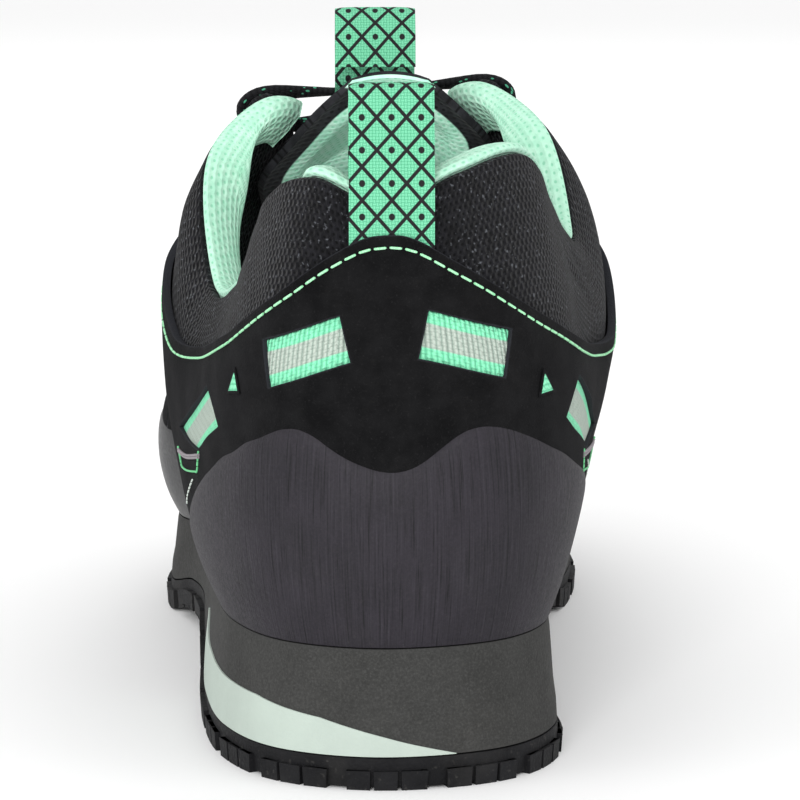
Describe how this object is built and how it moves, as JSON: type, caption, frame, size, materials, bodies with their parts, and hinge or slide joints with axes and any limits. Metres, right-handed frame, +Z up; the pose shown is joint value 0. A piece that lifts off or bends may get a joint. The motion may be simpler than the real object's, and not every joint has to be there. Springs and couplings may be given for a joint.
{
  "type": "approach shoe",
  "caption": "Low-cut lace-up approach shoe with a lugged sole, rubber toe rand and heel counter, suede overlays, padded collar and pull loops at heel and tongue.",
  "frame": {"origin": "centre of the bounding box on the floor plane the sole stands on", "axes": "+Y from heel to toe, -X to the outer (lateral) side, +Z up"},
  "size_m": [0.095, 0.27, 0.1401],
  "materials": {
    "outsole_rubber": "matt black rubber",
    "midsole_foam": "matt dark olive-grey foam",
    "wedge_foam": "matt pale mint foam",
    "insole_fabric": "brushed black fabric",
    "knit_mesh": "black knitted mesh",
    "lining_mesh": "mint spacer mesh",
    "suede": "black suede",
    "eyestay_fabric": "black woven reinforcement",
    "counter_rubber": "satin grey rubber with fine upright streaks",
    "rand_rubber": "smooth satin grey rubber",
    "strap_webbing": "ribbed woven webbing with mint edges",
    "tongue_mesh": "padded black mesh",
    "loop_webbing": "mint webbing with a dark lattice",
    "eyelet_metal": "satin black",
    "lace_cord": "flat black lace with mint flecks"
  },
  "bodies": {
    "root": {"outsole": "outsole_rubber", "midsole": "midsole_foam", "midsole_wedge": "wedge_foam", "insole": "insole_fabric", "upper": "knit_mesh", "collar_lining": "lining_mesh", "suede_quarter": "suede", "suede_vamp": "suede", "eyestay": "eyestay_fabric", "heel_counter": "counter_rubber", "toe_rand": "rand_rubber", "strap_lateral": "strap_webbing", "strap_medial": "strap_webbing", "tongue": "tongue_mesh", "tongue_loop": "loop_webbing", "heel_loop": "loop_webbing", "eyelet_lateral_1": "eyelet_metal", "eyelet_medial_1": "eyelet_metal", "eyelet_lateral_2": "eyelet_metal", "eyelet_medial_2": "eyelet_metal", "eyelet_lateral_3": "eyelet_metal", "eyelet_medial_3": "eyelet_metal", "eyelet_lateral_4": "eyelet_metal", "eyelet_medial_4": "eyelet_metal", "eyelet_lateral_5": "eyelet_metal", "eyelet_medial_5": "eyelet_metal", "eyelet_lateral_6": "eyelet_metal", "eyelet_medial_6": "eyelet_metal", "lace_crossing_1": "lace_cord", "lace_crossing_2": "lace_cord", "lace_crossing_3": "lace_cord", "lace_crossing_4": "lace_cord", "lace_crossing_5": "lace_cord", "lace_top": "lace_cord"}
  },
  "joints": []
}
